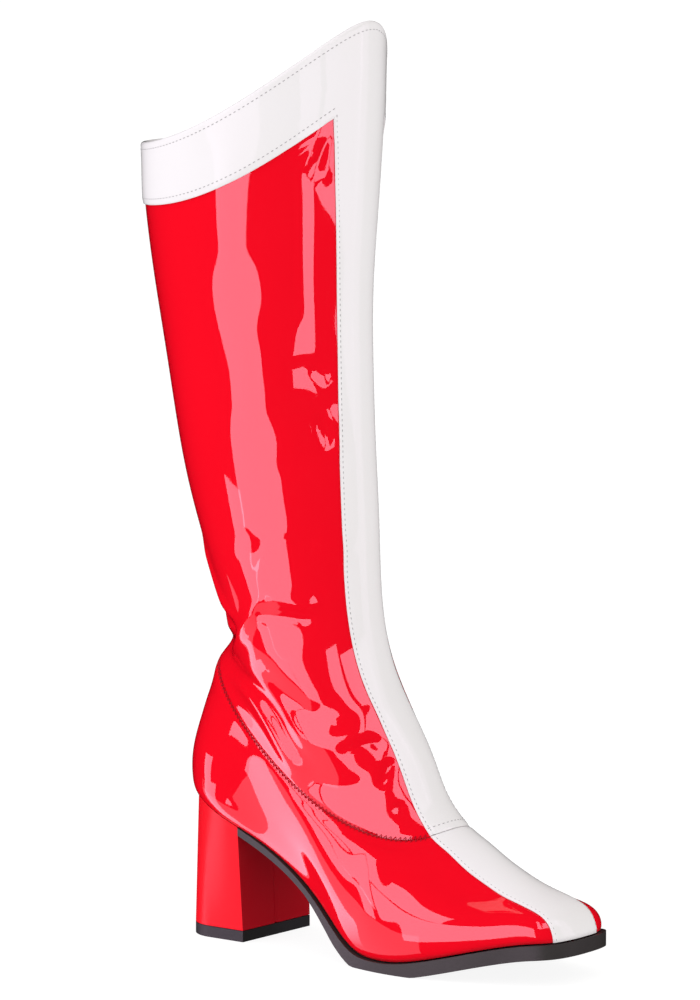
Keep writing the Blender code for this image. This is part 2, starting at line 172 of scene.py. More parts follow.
# Folds and dents of the patent skin, in millimetres: how high (or deep, if negative) and how wide each is,
# and the places (x, z) that its line goes through
Fold = namedtuple("Fold", "height width places")
OUTER_FOLDS = (
    # Slack above the vamp seam, from the notch at the back
    Fold(-1.3, 4, ((22, 135), (56, 130), (74, 118), (89, 101), (102, 86))),
    Fold(1.2, 4, ((33, 129), (57, 122), (71, 110), (84, 94), (96, 82))),
    # The smile over the ankle bone, the dish inside it and the crease below it
    Fold(1.1, 6, ((79, 117), (86, 111), (95, 106), (105, 103), (115, 106), (119, 114), (117, 127))),
    Fold(-1.5, 8, ((58, 138), (70, 133), (79, 127), (88, 121), (96, 118), (103, 119), (107, 127))),
    Fold(-1.3, 3, ((108, 101), (117, 103), (123, 105), (130, 103))),
    # Fold that branches at the back of the ankle
    Fold(1.2, 3.6, ((71, 172), (85, 170), (97, 166))),
    Fold(-1.2, 3.4, ((62, 164), (79, 163), (96, 160))),
    Fold(1.3, 3.6, ((72, 172), (65, 165), (58, 156), (46, 146), (34, 139))),
    # Roll at the back of the ankle
    Fold(1.5, 4, ((24, 200), (31, 180), (40, 166), (51, 159))),
    Fold(-2.0, 4, ((26, 176), (36, 160), (46, 154), (36, 146), (27, 143))),
    # Roll of the counter over the heel, ridge down the vamp and trough beside the toe
    Fold(0.7, 5, ((8, 74), (20, 71), (34, 67), (50, 60), (64, 53))),
    Fold(0.9, 9, ((137, 64), (136, 48), (139, 30), (143, 12))),
    Fold(-0.9, 8, ((156, 47), (174, 42), (192, 38), (208, 34))),
    # Crease down into the smile, the hollow under it and the dents beside the stripe
    Fold(1.2, 6, ((85, 152), (91, 139), (97, 126), (101, 115))),
    Fold(-1.9, 10, ((86, 92), (104, 85), (118, 82), (134, 84))),
    Fold(-1.0, 3, ((132, 98), (131, 90), (130, 82))),
    Fold(-0.8, 2.5, ((138, 78), (140, 71))),
    # Puckers that fan out from the window's top corner
    Fold(0.9, 2.6, ((98, 398), (93, 391), (84, 384))),
    Fold(0.9, 2.4, ((98, 397), (94, 386), (88, 374))),
    Fold(-0.8, 2.4, ((99, 396), (95, 384), (92, 370))),
    Fold(0.8, 2.4, ((99, 395), (98, 384), (97, 370))),
    # Ripples beside the stripe
    Fold(0.3, 6, ((90, 396), (92, 352), (90, 318), (93, 280))),
    Fold(0.3, 8, ((82, 308), (83, 296), (85, 282))),
    Fold(0.8, 7, ((91, 196), (97, 195), (104, 194))),
    Fold(-0.7, 3.2, ((90, 284), (96, 275))),
    Fold(-0.8, 3, ((92, 262), (94, 252), (97, 244))),
    Fold(0.7, 3, ((96, 265), (97, 252), (98, 236))),
    # Broad waves of the calf
    Fold(1.0, 8.5, ((61, 400), (60, 372), (60, 345), (61, 318))),
    Fold(0.8, 9, ((64, 316), (66, 292), (68, 268), (70, 246))),
    Fold(1.0, 13, ((72, 305), (76, 275), (80, 250), (84, 225))),
    Fold(-0.5, 12, ((76, 270), (80, 245), (84, 222))),
    Fold(0.7, 12, ((80, 236), (84, 216), (88, 198))),
    Fold(-0.5, 8, ((56, 197), (64, 193), (73, 190))),
)
INNER_FOLDS = (
    # Slack at the ankle
    Fold(-1.3, 4.5, ((24, 140), (54, 135), (76, 124), (94, 108))),
    Fold(1.2, 4, ((36, 132), (60, 126), (78, 112), (90, 97))),
    Fold(1.3, 5, ((70, 134), (84, 124), (98, 116), (106, 118))),
    Fold(1.2, 4, ((44, 178), (62, 172), (80, 172))),
    Fold(-1.2, 4, ((40, 168), (60, 164), (82, 163))),
    Fold(1.2, 4.2, ((64, 168), (54, 156), (40, 146))),
    Fold(1.3, 4, ((25, 200), (32, 182), (42, 170))),
    Fold(-1.6, 4, ((27, 176), (38, 160), (34, 148))),
    # Broad waves of the calf
    Fold(-0.8, 12, ((40, 330), (56, 322))),
    Fold(0.7, 14, ((64, 300), (70, 280))),
    Fold(-0.7, 12, ((44, 262), (58, 250))),
    Fold(0.8, 12, ((66, 232), (74, 216))),
)
FOLD_END = 0.28
FOLD_REACH = 3

# The vamp seam pulls the skin in on both sides, except under the stripe and at the back
SEAM_DIP = 0.0018
SEAM_DIP_WIDTH = 0.0120
SEAM_DIP_FRONT = 0.25
SEAM_DIP_BACK = 0.85

# The white patent's edge: the share of its thickness at its rim, and the pull of its stitches
RIM_SHARE = 0.25
PULL_DEPTH = 0.25
PULL_WIDTH = 0.3
ROLL_POWER = 3

# Stitch lines, in rings from the edges that they follow
VAMP_STITCH_START = 0.3
COLLAR_STITCH = 0.12
CUFF_STITCH = 0.16
CUFF_STITCH_END = 0.02
SEAM_STITCH = 0.25

# Matt finishes: size of the grain per metre and its detail, size of the clouds if they aren't the grain,
# shade of the clouds, roughness and its spread, depth of the grain in metres, sheen and shine
Matt = namedtuple("Matt", "grain detail clouds shade roughness spread depth sheen shine")
KNIT = Matt(900.0, 3.0, None, 0.7, 0.8, 0.15, 0.0002, 0.2, 0.5)
FELT = Matt(700.0, 3.0, None, 0.7, 0.8, 0.15, 0.0002, 0.2, 0.5)
SOLE_RUBBER = Matt(700.0, 3.0, 40.0, 1.5, 0.42, 0.15, 0.00005, 0.0, 0.5)
LIFT_RUBBER = Matt(700.0, 3.0, 40.0, 1.5, 0.5, 0.15, 0.00005, 0.0, 0.5)
THREAD = Matt(2500.0, 1.0, None, 0.7, 0.6, 0.2, 0.0, 0.0, 0.1)

# Patent and floor: weight and blur of each gloss, sizes of the noise per metre, depth of the bump, shares
Gloss = namedtuple("Gloss", "weight blur")
RED_GLOSS = Gloss(0.6, 0.015)
WHITE_GLOSS = Gloss(0.12, 0.03)
HEEL_GLOSS = Gloss(0.12, 0.25)
BREAST_GLOSS = Gloss(0.4, 0.1)
COAT_SHARE = 0.7
CLOUDS = 18.0
RIPPLES = 160.0
PEEL = 900.0
PEEL_SHARE = 0.25
PATENT_DEPTH = 0.000005
SMEARS = 60.0
SMEAR_BLUR = 0.02
FLOOR_RADIUS = 40.0
FLOOR_SEGMENTS = 64
FLOOR_CLOUDS = 3.0
FLOOR_SHADE = 0.99
FLOOR_ROUGHNESS = 0.9
FLOOR_SHINE = 0.1
WHITE = (1.0, 1.0, 1.0, 1.0)

# Softboxes round the boot: azimuth in degrees, lowest and highest point, width and distance in metres,
# share of the full glow, share of the height over which the lower edge fades, and turn in its own plane in
# degrees. Each stands where the photograph's reflections ask for one.
Softbox = namedtuple("Softbox", "name azimuth low high width distance glow fade roll",
                     defaults=(1.0, 0.0, 0.0))
SOFTBOXES = (
    Softbox("softbox_main", 1.5, -0.22, 0.90, 1.30, 1.5),
    Softbox("softbox_over", -15.5, 0.90, 1.75, 0.395, 1.5),
    Softbox("softbox_instep", -31.2, 0.36, 1.75, 0.42, 1.55),
    Softbox("softbox_vamp", -30.8, 0.03, 0.14, 0.135, 0.470),
    Softbox("softbox_low", -65.0, -0.12, 0.10, 0.049, 0.25, 0.88, 0.35),
    Softbox("softbox_waist", -56.1, -0.12, 0.060, 0.029, 0.2508, 0.88, 0.43),
    Softbox("softbox_right", 55.2, 0.247, 0.90, 0.104, 0.410),
    Softbox("softbox_toe", 92.4, 0.257, 0.557, 0.369, 0.402, roll=-10.0),
    Softbox("softbox_inner", 122.0, 0.0, 1.60, 0.50, 1.5, 0.7),
    Softbox("floor_glow", -42.0, -0.30, 0.02, 0.60, 0.45, 0.28),
)
KEY = Softbox("key_light", -40.0, 0.90, 3.10, 2.40, 2.2)

# Numbers of steps in the meshes, and small distances and angles that finish them
WALL_CELLS = 90
HALF_STRIPE_CELLS = 8
OUTER_WALL = slice(0, WALL_CELLS + 1)
INNER_WALL = slice(-WALL_CELLS - 1, None)
UNDER_STRIPE = slice(WALL_CELLS + 2, WALL_CELLS + 2 * HALF_STRIPE_CELLS - 1)
RIM_STRIPE_CELLS = 6
EDGE_SAMPLES = 120
VAMP_STITCH_SAMPLES = 60
STITCH_SIDES = 6
STITCH_RINGS = 4
CHART_ROWS = 320
CHART_CELLS = 110
CHART_STRIPE_CELLS = 10
CHART_NEAR = 4
CHART_SOFT = 0.0001
LINING_CELLS = 56
LINING_STRIPE_CELLS = 4
UPPER_ROWS = 72
ANKLE_ROWS = 84
CALF_ROWS = 72
CUFF_ROWS = 20
ROLL_ROWS = 8
LINING_ROWS = 90
SOLE_CELLS = 90
SOLE_ACROSS = 12
HEEL_CELLS = 40
HEEL_ACROSS = 28
HEEL_STEPS = 12
CURVE_SAMPLES = 400
PATH_SAMPLES = 24
PATH_CHUNK = 4000
LEVEL_STEP = 0.002
SEAM_PITCH = 0.0105
LINING_GAP = 0.0001
MERGE_DISTANCE = 0.00001
SHARP_ANGLE = math.radians(50)
ROUND_ANGLE = math.radians(40)
ROUND_SEGMENTS = 3


def settings():
    """The panel's sizes, colours and stage values."""
    scene = bpy.context.scene
    return scene.boot_sizes, scene.boot_colours, scene.boot_stage


def size_prop(name, description, default):
    return FloatProperty(name=name, description=description, default=default, unit="LENGTH")


def glow_prop(name, description, default):
    return FloatProperty(name=name, description=description, default=default, min=0)


def colour_prop(name, description, *default):
    return FloatVectorProperty(name=name, description=description, default=default, size=len(default),
                               subtype="COLOR")


class BootSizes(bpy.types.PropertyGroup):
    """Sizes of the boot's skins, stitches and rubber."""

    skin: size_prop("Skin", "Thickness of the red patent", 0.0013)
    lining: size_prop("Lining", "Thickness of the lining", 0.0006)
    overlay: size_prop("Overlay", "Thickness of the white patent", 0.0009)
    gap: size_prop("Gap", "Clearance between layers", 0.0003)
    edge: size_prop("Edge", "Width of the white patent's rolled edge", 0.0011)
    stitch_inset: size_prop("Stitch Inset", "Distance of the topstitch from an edge", 0.0010)
    stitch_pitch: size_prop("Stitch Pitch", "Distance between topstitches", 0.0025)
    stitch_length: size_prop("Stitch Length", "Length of a topstitch", 0.0015)
    thread: size_prop("Thread", "Thickness of the topstitches' thread", 0.0004)
    zigzag_pitch: size_prop("Zigzag Pitch", "Length of one zigzag", 0.0024)
    zigzag_thread: size_prop("Zigzag Thread", "Thickness of the zigzag's thread", 0.0004)
    zigzag_width: size_prop("Zigzag Width", "Width of the zigzag seam", 0.0026)
    groove: size_prop("Seam Groove", "Depth of the groove at the vamp seam", 0.0005)
    sole_round: size_prop("Sole Rounding", "Rounding of the sole's edges", 0.0007)
    heel_round: size_prop("Heel Rounding", "Rounding of the heel wrap's edges", 0.0010)


class BootColours(bpy.types.PropertyGroup):
    """Colours of the boot's finishes, in linear light."""

    red: colour_prop("Red Patent", "Upper and shaft", 0.93, 0.0040, 0.017, 1.0)
    deep_red: colour_prop("Deep Red", "Darker clouds of the red patent", 0.89, 0.0036, 0.015, 1.0)
    white: colour_prop("White Patent", "Cuff and stripe", 0.850, 0.828, 0.852, 1.0)
    warm_white: colour_prop("Warm White", "Greyer clouds of the white patent", 0.826, 0.806, 0.812, 1.0)
    # The breast's darker red is painted shade: the heel's front lies in the shade under the arch
    breast: colour_prop("Heel Breast", "Duller red of the heel's front", 0.41, 0.0040, 0.011, 1.0)
    thread_grey: colour_prop("Grey Thread", "Topstitches", 0.42, 0.41, 0.42, 1.0)
    thread_red: colour_prop("Red Thread", "Zigzag of the vamp seam", 0.55, 0.006, 0.020, 1.0)
    sole: colour_prop("Sole", "Charcoal sole", 0.030, 0.026, 0.024, 1.0)
    lift: colour_prop("Heel Lift", "Black wearing lift", 0.014, 0.013, 0.013, 1.0)
    lining: colour_prop("Lining", "Knit backing inside the leg", 0.62, 0.61, 0.60, 1.0)
    sock: colour_prop("Sock", "Sock lining on the insole", 0.42, 0.40, 0.38, 1.0)


class BootStage(bpy.types.PropertyGroup):
    """Camera and light."""

    azimuth: FloatProperty(name="Azimuth", description="Camera's turn from the outer side to the toe",
                           default=math.radians(38.2), subtype="ANGLE")
    elevation: FloatProperty(name="Elevation", description="Camera's height above the horizon",
                             default=math.radians(6.95), subtype="ANGLE")
    lens: FloatProperty(name="Lens", description="Focal length in millimetres",
                        default=195.6, unit="CAMERA")
    distance: size_prop("Distance", "Camera to boot", 2.6)
    target_x: size_prop("Target X", "Point looked at, from the back of the heel", 0.09465)
    target_z: size_prop("Target Z", "Height of the point looked at", 0.217)
    softbox_glow: glow_prop("Softbox Glow", "Radiance of the softboxes", 3.2)
    softbox_tint: colour_prop("Softbox Tint", "Colour of the softboxes", 0.98, 0.77, 1.0)
    key_glow: glow_prop("Key Glow", "Radiance of the key light", 1.6)
    key_tint: colour_prop("Key Tint", "Colour of the key light", 1.0, 0.93, 1.10)
    room: glow_prop("Room", "Radiance of the pale room", 0.95)
    room_tint: colour_prop("Room Tint", "Colour of the room's light", 1.0, 0.985, 0.955)
    floor_glow: glow_prop("Floor Glow", "Own light of the floor", 0.90)
    floor: colour_prop("Floor", "Pale floor", 0.18, 0.18, 0.18, 1.0)


def spline(knots, values, at):
    """Natural cubic curve through the knots; the values may be numbers or points."""
    knots = np.asarray(knots, float)
    values = np.asarray(values, float)
    flat = values.reshape(len(knots), -1)
    step = np.diff(knots)
    slope = np.diff(flat, axis=0) / step[:, None]
    size = len(knots)
    matrix = np.eye(size)
    right = np.zeros(flat.shape)
    for i in range(1, size - 1):
        matrix[i, i - 1:i + 2] = step[i - 1], 2 * (step[i - 1] + step[i]), step[i]
        right[i] = 6 * (slope[i] - slope[i - 1])
    bend = np.linalg.solve(matrix, right)
    at = np.clip(np.asarray(at, float), knots[0], knots[-1])
    i = np.clip(np.searchsorted(knots, at) - 1, 0, size - 2)
    left = (at - knots[i])[..., None]
    rest = (knots[i + 1] - at)[..., None]
    wide = step[i][..., None]
    ends = (bend[i] * rest ** 3 + bend[i + 1] * left ** 3) / (6 * wide)
    start = (flat[i] / wide - bend[i] * wide / 6) * rest
    stop = (flat[i + 1] / wide - bend[i + 1] * wide / 6) * left
    return (ends + start + stop).reshape(at.shape + values.shape[1:])


def column(table, name):
    return [getattr(row, name) for row in table]


def rings_at(levels):
    """The rings' sizes at any levels between the rows of the table."""
    knots = range(len(RINGS))
    sizes = [spline(knots, column(RINGS, name), levels) for name in Ring._fields]
    return [Ring(*row) for row in zip(*sizes)]


def sole_line(share):
    return spline(column(BOTTOM_LINE, "share"), column(BOTTOM_LINE, "height"), share)


@lru_cache(maxsize=None)
def ring_shares():
    """Shares of a ring's length, closer at its ends, with the footprint's fullness and the sole's dip."""
    share = (1 - np.cos(np.linspace(0, math.pi, CURVE_SAMPLES))) / 2
    places = column(FOOTPRINT, "share")
    outer, inner = (spline(places, column(FOOTPRINT, side), share) for side in ("outer", "inner"))
    straight = RINGS[0].back_z + (RINGS[0].front_z - RINGS[0].back_z) * share
    return share, outer, inner, sole_line(share) - straight


def ring_curves(ring):
    """A ring's x and height, and its half widths on the outer and inner side."""
    share, outer, inner, dip = ring_shares()
    x = ring.back_x + (ring.front_x - ring.back_x) * share
    drop = 1 - (1 - share) ** DROP_POWER + DROP_DIP * share ** DIP_POWER * (1 - share)
    way = share ** ring.peak + ring.drop * (drop - share)
    z = ring.back_z + (ring.front_z - ring.back_z) * way + ring.arch * dip
    ellipse = 2 * np.sqrt(np.clip(share * (1 - share), 0, None)) * ring.width / 2
    leg = 1 + (ring.nose - 1) * share ** NOSE_POWER
    toe = ring.toe * share ** TOE_POWER
    sides = [ellipse * (ring.foot * full + (1 - ring.foot) * leg + toe * blunt)
             for full, blunt in ((outer, 1), (inner, TOE_INNER))]
    return share, x, z, sides


def ring_points(ring, walls, stripes):
    """Points round a ring: outer wall from the back, across the stripe, inner wall to the back.

    walls are shares of the way from the back centre to the stripe; stripes are shares of half its width.
    """
    share, x, z, sides = ring_curves(ring)
    halves = []
    for sign, wide in zip((-1, 1), sides):
        front = np.argmax(wide)
        across = np.interp(-ring.stripe * stripes, -wide[front:], share[front:])
        length = np.concatenate(([0], np.cumsum(np.hypot(np.hypot(np.diff(x), np.diff(z)), np.diff(wide)))))
        edge = np.interp(np.interp(-ring.stripe, -wide[front:], share[front:]), share, length)
        places = np.concatenate((np.interp(walls * edge, length, share), across))
        values = (x, sign * wide, z)
        halves.append(np.stack([np.interp(places, share, value) for value in values], axis=1))
    return np.concatenate((halves[0], halves[1][-2::-1]))


def skin(levels, walls, stripes):
    """Points and outward normals of the boot's smooth surface, a row for each level.

    A row starts and ends on the back centre line. stripes may hold a row of its own for each level.
    """
    levels = np.asarray(levels, float)
    stripes = np.broadcast_to(stripes, (len(levels), np.shape(stripes)[-1]))
    near = (levels, np.minimum(levels + LEVEL_STEP, COLLAR_RING), np.maximum(levels - LEVEL_STEP, 0))
    rows, above, below = (
        np.array([ring_points(ring, walls, across) for ring, across in zip(rings_at(at), stripes)])
        for at in near)
    along = np.roll(rows, -1, axis=1) - np.roll(rows, 1, axis=1)
    along[:, 0] = along[:, -1] = rows[:, 1] - rows[:, -2]
    normals = np.cross(along, above - below)
    normals /= np.linalg.norm(normals, axis=2, keepdims=True)
    return rows + SHIFT, normals


def even_steps(cells):
    """Shares from 0 to 1, such as those of the way along a wall."""
    return np.linspace(0, 1, cells + 1)


def fine_stripes(cells):
    """Shares of the stripe's half width from just inside its edge to its middle, closer at the edge."""
    return np.cos(np.linspace(0, math.pi / 2, cells + 1))[1:]


def fine_skin(levels):
    """The smooth surface in the cells of the finished meshes."""
    return skin(levels, even_steps(WALL_CELLS), fine_stripes(HALF_STRIPE_CELLS))


@lru_cache(maxsize=None)
def chart():
    """A close net of points on each side of the boot, to find the height across at a place (x, z)."""
    levels = np.linspace(0, COLLAR_RING, CHART_ROWS)
    points = skin(levels, even_steps(CHART_CELLS), fine_stripes(CHART_STRIPE_CELLS))[0]
    middle = points.shape[1] // 2
    return points[:, :middle + 1].reshape(-1, 3), points[:, middle:].reshape(-1, 3)


def on_side(places, side):
    """Points of the smooth surface at places (x, z) in millimetres, on the outer (0) or inner (1) side."""
    net = chart()[side]
    found = []
    for x, z in places:
        far = np.hypot(net[:, 0] - SHIFT[0] - x * MM, net[:, 2] - z * MM)
        near = np.argpartition(far, CHART_NEAR)[:CHART_NEAR]
        weight = 1 / (far[near] + CHART_SOFT)
        found.append((net[near] * weight[:, None]).sum(axis=0) / weight.sum())
    return np.array(found)


def run_along(points):
    """Distance of each point of a line from its start, along the line."""
    steps = np.linalg.norm(np.diff(points, axis=0), axis=1)
    return np.concatenate(([0], np.cumsum(steps)))


def smooth_path(points, samples):
    """A smooth curve through the points, in even steps of its own parameter."""
    along = run_along(points)
    return spline(along, points, np.linspace(0, along[-1], samples))


def path_distance(points, path):
    """Distance of each point from a polyline, and the share of its length at the nearest place."""
    start, step = path[:-1], np.diff(path, axis=0)
    length = np.sum(step ** 2, axis=1)
    far = np.empty(len(points))
    share = np.empty(len(points))
    for first in range(0, len(points), PATH_CHUNK):
        part = points[first:first + PATH_CHUNK, None, :]
        along = np.clip(np.sum((part - start) * step, axis=2) / length, 0, 1)
        gaps = np.linalg.norm(part - start - along[..., None] * step, axis=2)
        best = np.argmin(gaps, axis=1)
        index = np.arange(len(best))
        far[first:first + PATH_CHUNK] = gaps[index, best]
        share[first:first + PATH_CHUNK] = (best + along[index, best]) / len(step)
    return far, share


def smoothstep(value):
    value = np.clip(value, 0, 1)
    return value * value * (3 - 2 * value)


@lru_cache(maxsize=None)
def fold_lines():
    """Each fold as a line on the surface with its height and width in metres."""
    lines = []
    for side, folds in enumerate((OUTER_FOLDS, INNER_FOLDS)):
        for fold in folds:
            path = smooth_path(on_side(fold.places, side), PATH_SAMPLES)
            lines.append((path, fold.height * MM, fold.width * MM))
    return lines


@lru_cache(maxsize=None)
def ring_line(level):
    """The smooth surface's line round the boot at one level."""
    return skin([level], even_steps(WALL_CELLS), fine_stripes(RIM_STRIPE_CELLS))[0][0]


def relief(points):
    """How far the creased skin stands off the smooth surface at each point."""
    flat = points.reshape(-1, 3)
    total = np.zeros(len(flat))
    for path, height, width in fold_lines():
        reach = FOLD_REACH * width
        low, high = path.min(axis=0) - reach, path.max(axis=0) + reach
        near = np.flatnonzero(np.all((flat > low) & (flat < high), axis=1))
        if not len(near):
            continue
        far, share = path_distance(flat[near], path)
        ends = smoothstep(share / FOLD_END) * smoothstep((1 - share) / FOLD_END)
        total[near] += height * np.exp(-(far / width) ** 2) * ends
    sizes = settings()[0]
    for level in (0, SEAM_RING):
        far, share = path_distance(flat, ring_line(level))
        total -= sizes.groove * np.exp(-(far / (2 * sizes.groove)) ** 2)
        if level == SEAM_RING:
            from_front = np.abs(2 * share - 1)
            pull = smoothstep(from_front / SEAM_DIP_FRONT) * smoothstep((1 - from_front) / SEAM_DIP_BACK)
            total -= SEAM_DIP * pull * np.exp(-far / SEAM_DIP_WIDTH)
    return total.reshape(points.shape[:-1])


def skin_levels():
    """Levels of the shaft's rows, close together at the ankle and at the cuff's edges."""
    start = SEAM_RING + settings()[0].gap / 2 / SEAM_PITCH
    ankle = np.linspace(start, ANKLE_RING, ANKLE_ROWS + 1)
    calf = np.linspace(ANKLE_RING, CUFF_RING, CALF_ROWS + 1)
    half = (ROLL_RING - CUFF_RING) / 2
    cuff = CUFF_RING + half * (1 - np.cos(np.linspace(0, math.pi, CUFF_ROWS + 1)))
    return np.concatenate((ankle, calf[1:], cuff[1:]))


def foot_levels():
    return np.linspace(0, SEAM_RING - settings()[0].gap / 2 / SEAM_PITCH, UPPER_ROWS + 1)


def add_object(name, bm, material, slot, *nodes):
    """Links a finished mesh, shades it smooth and rides it on the boot."""
    mesh = bpy.data.meshes.new(name)
    bm.to_mesh(mesh)
    bm.free()
    mesh.shade_smooth()
    mesh.set_sharp_from_angle(angle=SHARP_ANGLE)
    mesh.materials.append(material)
    made = bpy.data.objects.new(name, mesh)
    bpy.context.scene.collection.objects.link(made)
    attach(made, BODY)
    if nodes:
        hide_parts(*nodes)
    return made


def wall_mesh(levels, keep=None):
    """A closed wall between grids of points: the first grid, cut to its cells, extruded to the others."""
    rows = len(levels[0]) - 1
    across = len(levels[0][0]) - 1
    bm = bmesh.new()
    bmesh.ops.create_grid(bm, x_segments=across, y_segments=rows, size=1.0)
    place = bm.verts.layers.float_vector.new("place")
    for vert in bm.verts:
        vert[place] = (round((vert.co.y + 1) / 2 * rows), round((vert.co.x + 1) / 2 * across), 0)
    if keep:
        outside = [face for face in bm.faces if not keep(*grid_cell(face, rows, across))]
        bmesh.ops.delete(bm, geom=outside, context="FACES")
    for vert in bm.verts:
        vert.co = levels[0][int(vert[place].x)][int(vert[place].y)]
    bmesh.ops.remove_doubles(bm, verts=bm.verts, dist=MERGE_DISTANCE)
    region = [*bm.verts, *bm.edges, *bm.faces]
    for level in levels[1:]:
        region = bmesh.ops.extrude_face_region(bm, geom=region)["geom"]
        for vert in (item for item in region if isinstance(item, bmesh.types.BMVert)):
            vert.co = level[int(vert[place].x)][int(vert[place].y)]
    bmesh.ops.recalc_face_normals(bm, faces=bm.faces)
    return bm


def grid_cell(face, rows, across):
    """Row and column of a face of a grid that spans -1 to 1."""
    centre = face.calc_center_median()
    return int((centre.y + 1) / 2 * rows), int((centre.x + 1) / 2 * across)


class Value:
    """A socket of a node tree. Arithmetic on it adds Math nodes."""

    def __init__(self, tree, socket=None):
        self.tree = tree
        self.socket = socket

    def node(self, kind, settings=None, inputs=None, output=0):
        """A node of any kind: its settings first, then the values or links of its sockets."""
        made = self.tree.nodes.new(kind)
        for name, value in (settings or {}).items():
            setattr(made, name, value)
        set_inputs(made, inputs or {})
        return Value(self.tree, made.outputs[output])

    def math(self, operation, first, second):
        return self.node("ShaderNodeMath", {"operation": operation}, {0: first, 1: second})

    def __add__(self, other):
        return self.math("ADD", self, other)

    def __radd__(self, other):
        return self.math("ADD", other, self)

    def __mul__(self, other):
        return self.math("MULTIPLY", self, other)

    def __rmul__(self, other):
        return self.math("MULTIPLY", other, self)


def new_finish(name):
    """A material with its shader node and a Value to build its nodes from."""
    material = bpy.data.materials.new(name)
    material.use_nodes = True
    return material, material.node_tree.nodes["Principled BSDF"], Value(material.node_tree)


def set_inputs(node, values):
    """Plain numbers are set on the node's sockets, and Values are linked to them."""
    for name, value in values.items():
        if isinstance(value, Value):
            value.tree.links.new(value.socket, node.inputs[name])
        else:
            node.inputs[name].default_value = value


def noise(value, scale, detail=2.0):
    """Cloudy values from 0 to 1 in the boot's own metres."""
    place = value.node("ShaderNodeTexCoord", output="Object")
    return value.node("ShaderNodeTexNoise", inputs={"Vector": place, "Scale": scale, "Detail": detail})


def mix_colours(value, share, first, second):
    """A blend of two colours; the Mix node keeps its colours on numbered sockets."""
    inputs = {0: share, 6: tuple(first), 7: tuple(second)}
    return value.node("ShaderNodeMix", {"data_type": "RGBA"}, inputs, output=2)


def shaded(colour, share):
    return tuple(share * part for part in colour[:3]) + (1.0,)


def bump(value, height, depth):
    return value.node("ShaderNodeBump", inputs={"Height": height, "Distance": depth, "Strength": 1.0})


def patent(name, light, dark, gloss):
    """Patent vinyl: clouded colour under a clear, faintly rippled gloss."""
    material, shader, value = new_finish(name)
    ripple = noise(value, RIPPLES) + PEEL_SHARE * noise(value, PEEL)
    set_inputs(shader, {
        "Base Color": mix_colours(value, noise(value, CLOUDS), light, dark),
        "Roughness": gloss.blur + SMEAR_BLUR * noise(value, SMEARS),
        "Normal": bump(value, ripple, PATENT_DEPTH),
        "Specular IOR Level": gloss.weight,
        "Coat Weight": COAT_SHARE * gloss.weight,
        "Coat Roughness": gloss.blur,
    })
    return material


def matt(name, colour, kind):
    """Cloth, rubber or thread with a fine grain."""
    material, shader, value = new_finish(name)
    grain = noise(value, kind.grain, kind.detail)
    clouds = noise(value, kind.clouds) if kind.clouds else grain
    set_inputs(shader, {
        "Base Color": mix_colours(value, clouds, colour, shaded(colour, kind.shade)),
        "Roughness": kind.roughness + kind.spread * grain,
        "Specular IOR Level": kind.shine,
        "Sheen Weight": kind.sheen,
    })
    if kind.depth:
        set_inputs(shader, {"Normal": bump(value, grain, kind.depth)})
    return material


def finish_once(name, maker, *values):
    """A material by its name, made on first use."""
    return bpy.data.materials.get(name) or maker(name, *values)


def red_patent():
    colours = settings()[1]
    return finish_once("red_gloss", patent, colours.red, colours.deep_red, RED_GLOSS)


def white_patent():
    colours = settings()[1]
    return finish_once("white_gloss", patent, colours.white, colours.warm_white, WHITE_GLOSS)


def red_wall(levels):
    """The creased red skin with its thickness, between the first and the last level."""
    points, normals = fine_skin(levels)
    high = relief(points)[..., None]
    return wall_mesh([points + normals * high, points + normals * (high - settings()[0].skin)])


class BOOT_OT_upper(bpy.types.Operator):
    """Add the creased red foot part from the sole line to the vamp seam"""

    bl_idname = "boot.add_upper"
    bl_label = "Add Upper"

    def execute(self, context):
        add_object("upper_patent", red_wall(foot_levels()), red_patent(), "red_patent", "upper")
        return {"FINISHED"}


class BOOT_OT_shaft(bpy.types.Operator):
    """Add the creased red leg tube from the vamp seam to the collar"""

    bl_idname = "boot.add_shaft"
    bl_label = "Add Shaft"

    def execute(self, context):
        add_object("shaft_patent", red_wall(skin_levels()), red_patent(), "red_patent", "shaft")
        return {"FINISHED"}


def white_edges():
    """Lines along the free edges of the white cuff and stripe."""
    levels = np.linspace(0, CUFF_RING, EDGE_SAMPLES)
    points = skin(levels, np.array((0.0, 1.0)), np.array((0.0,)))[0]
    outer, inner = 1, 3
    rim = ring_line(CUFF_RING)
    return [points[:, outer], points[:, inner], rim[OUTER_WALL], rim[INNER_WALL]]


def white_lift(points, sizes):
    """Height of the white patent's face, rolled down at its edges and pulled in along its stitches."""
    flat = points.reshape(-1, 3)
    edge = np.min([path_distance(flat, path)[0] for path in white_edges()], axis=0)
    rolled = 1 - (1 - np.clip(edge / sizes.edge, 0, 1)) ** ROLL_POWER
    from_stitch = (edge - sizes.stitch_inset) / (PULL_WIDTH * sizes.stitch_inset)
    pulled = PULL_DEPTH * np.exp(-from_stitch ** 2)
    lift = sizes.gap + sizes.overlay * (RIM_SHARE + (1 - RIM_SHARE) * rolled - pulled)
    return lift.reshape(points.shape[:-1])


def rolled_collar(points, normals, sizes):
    """Rows that turn the cuff over the collar's edge, outside and inside of its own thickness."""
    outside = sizes.gap + sizes.overlay
    inside = -sizes.skin - sizes.lining - sizes.gap
    middle, radius = (outside + inside) / 2, (outside - inside) / 2
    up = points[-1] - points[-2]
    up /= np.linalg.norm(up, axis=1, keepdims=True)
    turns = np.linspace(0, math.pi, ROLL_ROWS + 1)[1:]
    rows = []
    for size in (radius, radius - sizes.overlay):
        moves = [(middle + size * math.cos(turn), size * math.sin(turn)) for turn in turns]
        rows.append(np.array([points[-1] + normals[-1] * out + up * rise for out, rise in moves]))
    return rows


